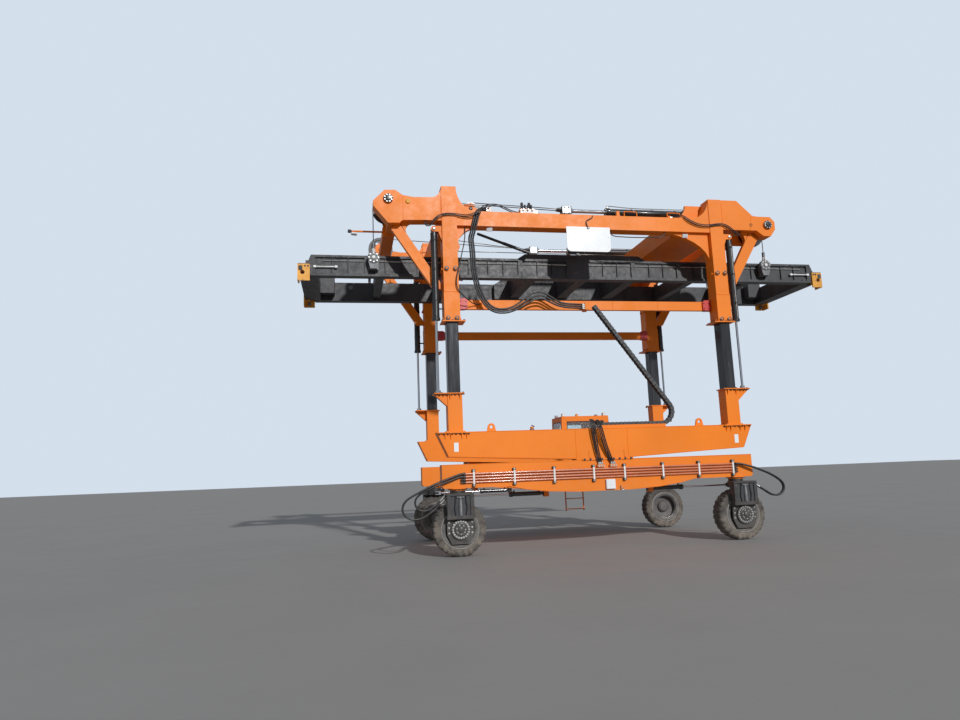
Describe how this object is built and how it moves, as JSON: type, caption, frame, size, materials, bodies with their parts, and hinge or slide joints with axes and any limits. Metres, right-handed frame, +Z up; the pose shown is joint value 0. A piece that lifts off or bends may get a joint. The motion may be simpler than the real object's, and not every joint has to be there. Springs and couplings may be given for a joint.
{
  "type": "straddle carrier",
  "caption": "Straddle carrier with four steered wheels, telescoping portal legs and a rope-hung spreader for long containers.",
  "frame": {"origin": "on the ground, under the middle of the whole machine with its far-side cab and power pack", "axes": "+X along the machine, to the right when seen from the drag chain side; +Y across it, from the drag chain side to the cab side; +Z up"},
  "size_m": [12.24, 5.2502, 7.52],
  "materials": {
    "machine_orange": "glossy orange paint with dust and worn edges",
    "leg_steel": "black slide surfaces, greased",
    "black_paint": "glossy black paint",
    "chrome_rod": "polished rod",
    "cast_grey": "galvanised casting",
    "worn_black": "worn black paint with rust and dust",
    "wire_rope": "greased wire rope",
    "chain_plastic": "dusty nylon links",
    "tyre": "dusty rubber",
    "rim_paint": "grey paint, dusty",
    "knuckle_black": "black paint with dust",
    "sign_white": "white blank plate",
    "engine_grey": "painted cast iron",
    "cab_trim": "moulded black"
  },
  "bodies": {
    "near_chassis": {"box_beam_near": "machine_orange", "rocker_near": "machine_orange", "inner_legs_near": "leg_steel", "lift_rods_near": "chrome_rod", "steer_barrels_near": "black_paint", "drag_chain": "chain_plastic"},
    "portal": {"columns_near": "machine_orange", "columns_far": "machine_orange", "upper_beams": "machine_orange", "tie_bars": "machine_orange", "corner_brackets": "machine_orange", "sheaves": "black_paint", "cross_beams": "machine_orange", "hoist_barrels": "black_paint", "lift_barrels": "black_paint", "sign_plate": "sign_white"},
    "far_chassis": {"box_beam_far": "machine_orange", "rocker_far": "machine_orange", "inner_legs_far": "leg_steel", "lift_rods_far": "chrome_rod", "steer_barrels_far": "black_paint", "power_pack_hood": "machine_orange", "engine_block": "engine_grey", "fluid_tank": "black_paint", "cab_shell": "machine_orange", "cab_interior": "cab_trim"},
    "cab_door": {"cab_door": "machine_orange"},
    "hoist_rods": {"hoist_rods": "chrome_rod"},
    "spreader": {"spreader_sides": "worn_black", "spreader_ends": "worn_black", "spreader_frame": "worn_black", "corner_guides": "machine_orange", "twistlocks": "cast_grey", "hook_blocks": "cast_grey", "falls_left": "wire_rope", "falls_right": "wire_rope"},
    "knuckle_nl": {"knuckle_nl": "knuckle_black"},
    "wheel_nl": {"tyre_nl": "tyre", "rim_nl": "rim_paint"},
    "steer_rod_nl": {"steer_rod_nl": "chrome_rod"},
    "knuckle_nr": {"knuckle_nr": "knuckle_black"},
    "wheel_nr": {"tyre_nr": "tyre", "rim_nr": "rim_paint"},
    "steer_rod_nr": {"steer_rod_nr": "chrome_rod"},
    "knuckle_fl": {"knuckle_fl": "knuckle_black"},
    "wheel_fl": {"tyre_fl": "tyre", "rim_fl": "rim_paint"},
    "steer_rod_fl": {"steer_rod_fl": "chrome_rod"},
    "knuckle_fr": {"knuckle_fr": "knuckle_black"},
    "wheel_fr": {"tyre_fr": "tyre", "rim_fr": "rim_paint"},
    "steer_rod_fr": {"steer_rod_fr": "chrome_rod"}
  },
  "joints": [
    {"name": "portal_lift", "type": "slide", "parent": "near_chassis", "child": "portal", "axis": [0, 0, 1], "range_m": [-1.4, 0.3], "deforming": ["drag_chain"]},
    {"name": "far_leg_lift", "type": "slide", "parent": "portal", "child": "far_chassis", "axis": [0, 0, -1], "range_m": [-1.4, 0.3]},
    {"name": "hoist", "type": "slide", "parent": "portal", "child": "spreader", "axis": [0, 0, 1], "range_m": [-1.5, 0.2], "deforming": ["falls_left", "falls_right"]},
    {"name": "hoist_rod_slide", "type": "slide", "parent": "portal", "child": "hoist_rods", "axis": [-1, 0, 0], "range_m": [-0.76, 0.11]},
    {"name": "cab_door_hinge", "type": "hinge", "parent": "far_chassis", "child": "cab_door", "pos_m": [0.6, 2.59615, 2], "axis": [0, 0, 1], "range_deg": [0, 100]},
    {"name": "steer_nl", "type": "hinge", "parent": "near_chassis", "child": "knuckle_nl", "pos_m": [-3, -2.28515, 0.525], "axis": [0, 0, 1], "range_deg": [-35, 35]},
    {"name": "roll_nl", "type": "hinge", "parent": "knuckle_nl", "child": "wheel_nl", "pos_m": [-3, -2.28515, 0.525], "axis": [0, 1, 0], "continuous": true},
    {"name": "steer_rod_slide_nl", "type": "slide", "parent": "near_chassis", "child": "steer_rod_nl", "axis": [1, 0, 0], "range_m": [-0.155, 0.155]},
    {"name": "steer_nr", "type": "hinge", "parent": "near_chassis", "child": "knuckle_nr", "pos_m": [3, -2.28515, 0.525], "axis": [0, 0, 1], "range_deg": [-35, 35]},
    {"name": "roll_nr", "type": "hinge", "parent": "knuckle_nr", "child": "wheel_nr", "pos_m": [3, -2.28515, 0.525], "axis": [0, 1, 0], "continuous": true},
    {"name": "steer_rod_slide_nr", "type": "slide", "parent": "near_chassis", "child": "steer_rod_nr", "axis": [1, 0, 0], "range_m": [-0.155, 0.155]},
    {"name": "steer_fl", "type": "hinge", "parent": "far_chassis", "child": "knuckle_fl", "pos_m": [-3, 1.41485, 0.525], "axis": [0, 0, 1], "range_deg": [-35, 35]},
    {"name": "roll_fl", "type": "hinge", "parent": "knuckle_fl", "child": "wheel_fl", "pos_m": [-3, 1.41485, 0.525], "axis": [0, 1, 0], "continuous": true},
    {"name": "steer_rod_slide_fl", "type": "slide", "parent": "far_chassis", "child": "steer_rod_fl", "axis": [1, 0, 0], "range_m": [-0.155, 0.155]},
    {"name": "steer_fr", "type": "hinge", "parent": "far_chassis", "child": "knuckle_fr", "pos_m": [3, 1.41485, 0.525], "axis": [0, 0, 1], "range_deg": [-35, 35]},
    {"name": "roll_fr", "type": "hinge", "parent": "knuckle_fr", "child": "wheel_fr", "pos_m": [3, 1.41485, 0.525], "axis": [0, 1, 0], "continuous": true},
    {"name": "steer_rod_slide_fr", "type": "slide", "parent": "far_chassis", "child": "steer_rod_fr", "axis": [1, 0, 0], "range_m": [-0.155, 0.155]}
  ],
  "couplings": [
    {"joint": "far_leg_lift", "follows": "portal_lift", "ratio": 1},
    {"joint": "hoist_rod_slide", "follows": "hoist", "ratio": 0.5},
    {"joint": "steer_rod_slide_nl", "follows": "steer_nl", "m_per_rad": -0.24413},
    {"joint": "steer_rod_slide_nr", "follows": "steer_nr", "m_per_rad": -0.24413},
    {"joint": "steer_rod_slide_fl", "follows": "steer_fl", "m_per_rad": 0.24413},
    {"joint": "steer_rod_slide_fr", "follows": "steer_fr", "m_per_rad": 0.24413}
  ]
}
